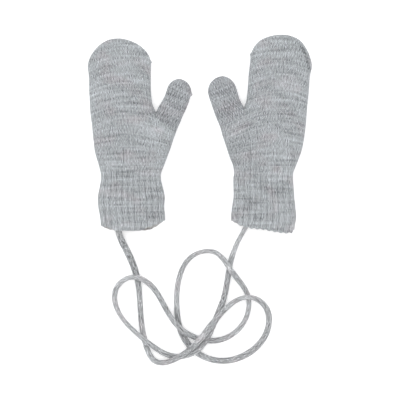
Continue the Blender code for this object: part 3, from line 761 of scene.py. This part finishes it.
def cuff(shape, material):
    """The ribbed cuff. Its ribs stand up on the upper side and are pressed in underneath."""
    cloth = Cloth(shape.mitten.name + "_cuff_knit")
    count = round((shape.mitten.cuff[0].y - shape.mitten.cuff[-1].y) / ROW)
    downs = np.linspace(0, 1, count + 1)
    upper, lower = (cuff_rows(shape, downs, *layer) for layer in zip(COLUMNS, ("front", "back")))
    outer, outward, rolled = tube(shape, upper, lower)
    on_top = np.arange(outer.shape[1]) < upper.shape[1]
    x = rolled[..., 0]
    far, near = x[:, :1], x[:, [upper.shape[1] - 1]]
    across = (x - far) / (near - far) * (RIBS_ACROSS + 1) - 0.5
    courses = (rolled[..., 1] - shape.mitten.cuff[0].y) / COURSE
    grown = smoothstep(downs / RIB_START)[:, None]
    u, height, valley = rib(across, courses, grown)
    wave = 0.5 - 0.5 * np.cos(2 * pi * across)
    rise = np.where(on_top, RIB_RISE * wave * grown * outward[..., 2], 0)
    sink = valley * VALLEY_DEPTH + (1 - height) * STITCH_DEPTH
    sink[0] = STITCH_DEPTH * JOINT_SHARE
    scalloped = smoothstep((downs[:, None] - SCALLOP_START) / (1 - SCALLOP_START))
    pushed = shape.mitten.scallop * wave * scalloped
    inner = outer - outward * WALL
    face = outer + outward * (rise - sink)[..., None]
    for layer in (face, inner):
        layer[..., 1] -= pushed
    knit = np.stack([u + shape.mitten.first_wale, courses], -1)
    layers = (face, inner, knit, tones(shape, rolled))
    both_faces(cloth, layers, (Chart(0.01, 0.76), Chart(0.78, 0.92)), INNER_ROW / 2, valley)
    rim(cloth, layers, 0, Chart(0.94, 0.96))
    rim(cloth, layers, -1, Chart(0.97, 0.99), HEM_ROUND)
    return cloth.finish(material)


def smooth_route(points, step):
    """Evenly spaced points on the natural cubic curve through the route's points, and the place
    of each, counted in route points."""
    route = np.array(points)
    knots = lengths_to(route)
    gaps = np.diff(knots)
    count = len(route)
    system = np.eye(count)
    slopes = np.diff(route, axis=0) / gaps[:, None]
    target = np.zeros_like(route)
    for row in range(1, count - 1):
        system[row, row - 1:row + 2] = gaps[row - 1], 2 * (gaps[row - 1] + gaps[row]), gaps[row]
        target[row] = 6 * (slopes[row] - slopes[row - 1])
    bends = np.linalg.solve(system, target)
    gap = gaps[:, None, None]
    part = np.linspace(0, gaps, CORD_FINENESS, endpoint=False).T[..., None]
    left = gap - part
    start, end, here, there = (rows[:, None] for rows in (route[:-1], route[1:], bends[:-1], bends[1:]))
    fine = ((here * left ** 3 + there * part ** 3) / (6 * gap) + (start / gap - here * gap / 6) * left
            + (end / gap - there * gap / 6) * part)
    fine = np.vstack([fine.reshape(-1, 2), route[-1]])
    lengths = lengths_to(fine)
    spots = np.linspace(0, lengths[-1], round(lengths[-1] / step) + 1)
    plan = np.column_stack([np.interp(spots, lengths, fine[:, axis]) for axis in (0, 1)])
    return plan, np.interp(spots, knots * lengths[-1] / knots[-1], np.arange(len(route)))


def crossing_pairs(plan, places):
    """Pairs of points of the cord that lie over each other, upper one first, and how far apart."""
    apart = CORD_DIAMETER + CORD_CLEARANCE
    pairs = []
    for first in range(len(plan)):
        for second in range(first + CORD_NEIGHBOURS, len(plan)):
            distance = norm(plan[first] - plan[second])
            if distance < apart:
                rise = sqrt(apart ** 2 - distance ** 2)
                over, under = min(
                    ((first, second), (second, first)),
                    key=lambda pair: min(abs(places[pair[0]] - cross.upper)
                                         + abs(places[pair[1]] - cross.lower)
                                         for cross in CORD_CROSSINGS))
                pairs.append((over, under, rise))
    return pairs


def settle(plan, places):
    """Heights of the cord's middle: it lies on the surface, and on itself in low humps."""
    count = len(plan)
    radius = CORD_DIAMETER / 2
    tail = int(CORD_TAIL / CORD_STEP) + 1
    floor = np.full(count, radius)
    floor[:tail] = floor[-tail:] = WALL + SEAM_GAP + radius
    pairs = crossing_pairs(plan, places)
    heights = floor.copy()
    for _ in range(SETTLE_TURNS):
        padded = np.pad(heights, 2, mode="edge")
        springy = (-padded[:-4] + 4 * padded[1:-3] + 4 * padded[3:-1] - padded[4:]) / 6
        heights += (springy - heights) * SETTLE_EASE - SETTLE_DROP
        heights = np.maximum(heights, floor)
        for over, under, rise in pairs:
            short = rise - (heights[over] - heights[under])
            if short > 0:
                heights[over] += short * UPPER_SHARE
                heights[under] = max(heights[under] - short * (1 - UPPER_SHARE), floor[under])
    for over, under, rise in pairs:
        heights[over] = max(heights[over], heights[under] + rise)
    return heights


def waved(waves, spots):
    return sum(wave.height * np.sin(spots / wave.length + wave.start) for wave in waves)


def cord(material):
    """The knitted tubular cord, laid in loose loops with each end inside a cuff."""
    plan, places = smooth_route(CORD_ROUTE, CORD_STEP)
    line = np.column_stack([plan, settle(plan, places)])
    lengths = lengths_to(line)
    spots = np.linspace(0, lengths[-1], round(lengths[-1] / CORD_RING) + 1)
    steps = np.interp(spots, lengths, np.arange(len(line)))
    middle = curve(line, line[0] * 2 - line[1], line[-1] * 2 - line[-2], steps)
    ahead = units(np.gradient(middle, axis=0))
    across = units(np.cross(ahead, (0, 0, 1)))
    up = np.cross(across, ahead)
    wide = np.interp(np.interp(spots, lengths, places), *zip(*CORD_WIDTHS))
    across *= (wide / CORD_DIAMETER)[:, None]
    tone = ((CORD_DIAMETER - wide) * WIDE_DARK)[:, None]
    turn = np.linspace(0, 2 * pi, CORD_SIDES + 1)
    spokes = across[:, None] * np.cos(turn)[:, None] + up[:, None] * np.sin(turn)[:, None]
    wound = spots * CORD_TWIST * CORD_WALES + waved(CORD_WANDER, spots)
    u = (turn / (2 * pi))[None] * CORD_WALES + wound[:, None]
    v = np.broadcast_to((spots / CORD_COURSE)[:, None], u.shape)
    height = stocking(u, v)
    flat_way = spots / CORD_FLAT_TURN + waved(CORD_FLAT_WANDER, spots)
    flatter = CORD_FLATTER * np.cos(turn - flat_way[:, None]) ** 2
    radius = CORD_DIAMETER / 2 * (1 - flatter) + CORD_SWELL - (1 - height) * CORD_DEPTH
    surface = middle[:, None] + spokes * radius[..., None]
    surface[..., 2] = np.maximum(surface[..., 2], 0)
    cloth = Cloth("cord_knit")
    knit = np.stack([u, v], -1)
    cuts = np.linspace(0, len(spots) - 1, CORD_CHARTS + 1).astype(int)
    lefts = np.linspace(0.01, 0.99, CORD_CHARTS, endpoint=False)
    for start, end, left in zip(cuts, cuts[1:], lefts):
        rows = slice(start, end + 1)
        cloth.grid(surface[rows], knit[rows], Chart(0.03, 0.97, left, left + 0.075), tone[rows])
    for place, chart in ((0, Chart(0, 0.02, right=0.4)), (-1, Chart(0, 0.02, 0.5, 0.9))):
        cap = np.stack([surface[place], np.repeat(middle[place][None], CORD_SIDES + 1, 0)])
        cloth.grid(cap, np.stack([knit[place]] * 2), chart)
    obj = cloth.finish(material)
    return obj


class Nodes:
    """Writes a material's nodes in few words."""

    def __init__(self, name):
        self.material = bpy.data.materials.new(name)
        self.material.use_nodes = True
        self.tree = self.material.node_tree
        self.shader = self.tree.nodes["Principled BSDF"]

    def add(self, kind, inputs=(), **settings):
        node = self.tree.nodes.new(kind)
        for name, value in settings.items():
            setattr(node, name, value)
        for socket, value in dict(inputs).items():
            self.put(node.inputs[socket], value)
        return node

    def put(self, socket, value):
        if isinstance(value, bpy.types.NodeSocket):
            self.tree.links.new(value, socket)
        else:
            socket.default_value = value

    def math(self, operation, *values):
        return self.add("ShaderNodeMath", enumerate(values), operation=operation).outputs[0]

    def noise(self, part, x, y, z):
        """A noise at x and y times how often it changes across and up, and at z."""
        place = self.vector(self.math("MULTIPLY", x, part.across), self.math("MULTIPLY", y, part.up), z)
        return self.add("ShaderNodeTexNoise", {"Vector": place, "Scale": 1, "Detail": part.detail,
                                               "Roughness": part.roughness}).outputs["Fac"]

    def ramp(self, value, start, full):
        """From 0 where the value is start to 1 where it is full."""
        return self.add("ShaderNodeMapRange", {"Value": value, "From Min": start,
                                               "From Max": full}).outputs[0]

    def mix(self, first, second, share):
        return self.math("MULTIPLY_ADD", self.math("SUBTRACT", second, first), share, first)

    def vector(self, x, y, z):
        return self.add("ShaderNodeCombineXYZ", {"X": x, "Y": y, "Z": z}).outputs[0]

    def shade(self, values):
        """Gives the shader's sockets their values or links."""
        for socket, value in values.items():
            self.put(self.shader.inputs[socket], value)


def leg_nodes(nodes, beside, up):
    """The height of one leg of a stitch, as leg() has it."""
    calc = nodes.math
    along = calc("DIVIDE", up, LEG_LENGTH)
    middle = calc("MULTIPLY_ADD", along, LEG_TOP - LEG_FOOT, LEG_FOOT)
    across = calc("DIVIDE", calc("SUBTRACT", beside, middle), LEG_WIDTH)
    from_middle = calc("MULTIPLY_ADD", along, 2, -1)
    roundness = calc("SUBTRACT", 1, calc("MULTIPLY", across, across))
    ends = calc("SUBTRACT", 1, calc("MULTIPLY", from_middle, from_middle))
    return calc("SQRT", calc("MULTIPLY", calc("MAXIMUM", roundness, 0), calc("MAXIMUM", ends, 0)))


def relief_nodes(nodes, beside, v, valley):
    """The height of the stitches, with purl in the valleys between the ribs."""
    calc = nodes.math
    up = calc("FRACT", v)
    knit = calc("MAXIMUM", leg_nodes(nodes, beside, up), leg_nodes(nodes, beside, calc("ADD", up, 1)))
    bars = calc("MULTIPLY", calc("SINE", calc("MULTIPLY", up, pi)), PURL_HEIGHT * 2)
    return nodes.mix(knit, bars, nodes.ramp(valley, PURL_START, PURL_FULL))


def leg_tone_nodes(nodes, on_yarn, row, seed):
    """A random tone for each leg of a stitch, less the mean of the two legs beside it."""
    calc = nodes.math
    legs = []
    for beside_it in (-0.5, 0, 0.5):
        place = nodes.vector(calc("ADD", on_yarn, beside_it), row, seed)
        white = nodes.add("ShaderNodeTexWhiteNoise", {"Vector": place}, noise_dimensions="3D")
        legs.append(white.outputs["Value"])
    around = calc("MULTIPLY", calc("ADD", legs[0], legs[2]), -0.5)
    return calc("ADD", calc("ADD", legs[1], around), 0.5)


def yarn(name, colour, seed, grain, apart=1):
    """Heathered yarn. Its tone changes along the yarn, and so in streaks along the courses, and from
    leg to leg. The hollows between the stitches and the rib valleys have painted shade, and the
    inner faces painted light. Grain is the strength of the differences between stitches, the painted
    shade in the hollows included, and apart how soon the tone changes from row to row."""
    nodes = Nodes(name)
    calc = nodes.math
    knit = nodes.add("ShaderNodeUVMap", uv_map="Knit").outputs[0]
    parts = nodes.add("ShaderNodeSeparateXYZ", {0: knit})
    u, v = parts.outputs["X"], parts.outputs["Y"]
    placed, valley, inside = (nodes.add("ShaderNodeAttribute", attribute_name=name).outputs["Fac"]
                              for name in ("tone", "valley", "inside"))
    centred = calc("SUBTRACT", calc("FRACT", u), 0.5)
    beside = calc("ABSOLUTE", centred)
    up_leg = calc("MULTIPLY", calc("SUBTRACT", beside, LEG_MEET), TONE_SLOPE)
    row = calc("FLOOR", calc("SUBTRACT", v, up_leg))
    from_foot = calc("SUBTRACT", v, row)
    on_yarn = calc("MULTIPLY_ADD", calc("SIGN", centred), LEG_PLACE, calc("FLOOR", u))
    across_leg = calc("SUBTRACT", beside, calc("DIVIDE", v, LEG_SLOPE))
    relief = relief_nodes(nodes, beside, v, valley)

    clump, strand = (
        nodes.noise(part._replace(up=part.up * apart), on_yarn, row, seed + part.layer)
        for part in (CLUMP, STRAND))
    streak, patch, warm, fleck, fuzz = (
        nodes.noise(part, u, v, seed + part.layer)
        for part in (STREAK._replace(up=STREAK.up * apart), PATCH, WARMTH, FLECK, FUZZ))
    fibre = nodes.noise(FIBRE, across_leg, from_foot, calc("MULTIPLY_ADD", row, FIBRE.layer, on_yarn))
    leg_tone = leg_tone_nodes(nodes, on_yarn, row, seed)

    strength = calc("MULTIPLY", placed, PLACED)
    for part, amount in ((clump, CLUMP.amount), (strand, STRAND.amount), (streak, STREAK.amount),
                         (patch, PATCH.amount), (leg_tone, LEG_TONE * grain), (fleck, FLECK.amount),
                         (fibre, FIBRE.amount)):
        strength = calc("MULTIPLY_ADD", calc("SUBTRACT", part, 0.5), amount, strength)
    # Painted shade: the hollows between the stitches and the rib valleys darker, the stitches' tops a
    # little lighter
    uneven = calc("MULTIPLY_ADD", clump, GAP_UNEVEN, 1 - GAP_UNEVEN / 2)
    painted_shade = calc("MULTIPLY", calc("SUBTRACT", relief, STITCH_TOP), GAP_PAINTED_SHADE * grain)
    painted_shade = calc("MULTIPLY_ADD", valley, -VALLEY_PAINTED_SHADE, painted_shade)
    strength = calc("MULTIPLY_ADD", painted_shade, uneven, strength)
    strength = calc("MAXIMUM", calc("ADD", strength, 1), DARKEST)

    hue = (*colour, 1)
    # The warm tint is the yarn's own; the inner faces' lighter tint is painted light
    for share, tint in ((nodes.ramp(warm, WARM_START, WARM_FULL), WARM_TINT), (inside, INSIDE_PAINTED_LIGHT)):
        tinted = (*(part * change for part, change in zip(colour, tint)), 1)
        mixed = nodes.add("ShaderNodeMix", {"Factor": share, "A": hue, "B": tinted}, data_type="RGBA")
        hue = mixed.outputs["Result"]
    shade = nodes.add("ShaderNodeVectorMath", {0: hue, "Scale": strength}, operation="SCALE").outputs[0]

    twist = calc("MULTIPLY_ADD", from_foot, PLY_UP, calc("MULTIPLY", beside, PLY_ACROSS))
    roughened = calc("MULTIPLY", fuzz, FUZZ.amount)
    height = calc("MULTIPLY_ADD", calc("SINE", twist), PLY_HEIGHT, roughened)
    height = calc("ADD", height, relief)
    bump = nodes.add("ShaderNodeBump", {"Height": height, "Strength": 1, "Distance": STITCH_BUMP * MM})
    rough = nodes.add("ShaderNodeMapRange", {"Value": fuzz, "To Min": SMOOTHEST, "To Max": ROUGHEST})
    nodes.shade({"Base Color": shade, "Normal": bump.outputs[0], "Roughness": rough.outputs[0],
                 "Specular IOR Level": 0.2, "Sheen Weight": 0.12, "Sheen Roughness": 0.55})
    return nodes.material


def make_camera():
    """Straight down on the whole part."""
    data = bpy.data.cameras.new("camera")
    data.lens = LENS
    data.sensor_width = SENSOR
    data.clip_end = 20
    camera = add_object("camera", data)
    distance = FRAME_WIDTH * LENS / SENSOR
    camera.location = Vector((0, FRAME_MIDDLE, EDGE + distance)) * MM
    bpy.context.scene.camera = camera


def make_floor():
    mesh = bpy.data.meshes.new("floor")
    turns = [(-1, -1), (1, -1), (1, 1), (-1, 1)]
    mesh.from_pydata([(x * FLOOR_REACH, y * FLOOR_REACH, 0) for x, y in turns], [], [(0, 1, 2, 3)])
    nodes = Nodes("pale_floor")
    nodes.shade({"Base Color": (0.93, 0.93, 0.93, 1), "Roughness": 0.9, "Specular IOR Level": 0.1,
                 "Emission Color": (1, 1, 1, 1), "Emission Strength": 0.3})
    mesh.materials.append(nodes.material)
    floor = add_object("floor", mesh)


def make_light():
    """Soft white studio light from all round, a little stronger from the upper left."""
    world = bpy.data.worlds.new("studio")
    bpy.context.scene.world = world
    world.use_nodes = True
    background = world.node_tree.nodes["Background"]
    background.inputs["Color"].default_value = (1, 1, 1, 1)
    background.inputs["Strength"].default_value = 1.12
    lamp = bpy.data.lights.new("softbox", "AREA")
    lamp.shape = "SQUARE"
    lamp.size = 1.6
    lamp.energy = 3.5
    softbox = add_object("softbox", lamp)
    softbox.location = (-0.55, 0.45, 1.15)
    aim = Vector((0, -0.05, 0))
    softbox.rotation_euler = (aim - softbox.location).to_track_quat("-Z", "Y").to_euler()
    bpy.context.scene.view_settings.view_transform = "Standard"


def main():
    make_camera()
    make_floor()
    make_light()
    cord_yarn = yarn("cord_yarn", (0.468, 0.48, 0.494), seed=31, grain=2.2, apart=0.18)
    hand_yarn = yarn("hand_yarn", (0.436, 0.46, 0.479), seed=3, grain=1.25)
    thumb_yarn = yarn("thumb_yarn", (0.398, 0.416, 0.437), seed=12, grain=1.8)
    cuff_yarn = yarn("cuff_yarn", (0.451, 0.476, 0.495), seed=21, grain=1.35)
    pieces = [(cord(cord_yarn), "cord", "cord_knit", None)]
    for mitten in (LEFT, RIGHT):
        shape = Shape(mitten)
        name = mitten.name
        pieces.append((cuff(shape, cuff_yarn), name + "_cuff", "cuff_rib", (0.112, 0.051)))
        pieces.append((hand(shape, hand_yarn), name + "_hand", "hand_knit", (0.128, 0.104)))
        pieces.append((thumb(shape, thumb_yarn), name + "_thumb", "thumb_knit", (0.048, 0.035)))
    for obj, node, slot, flat in pieces:
        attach(obj, "root")
        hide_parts(node)


main()
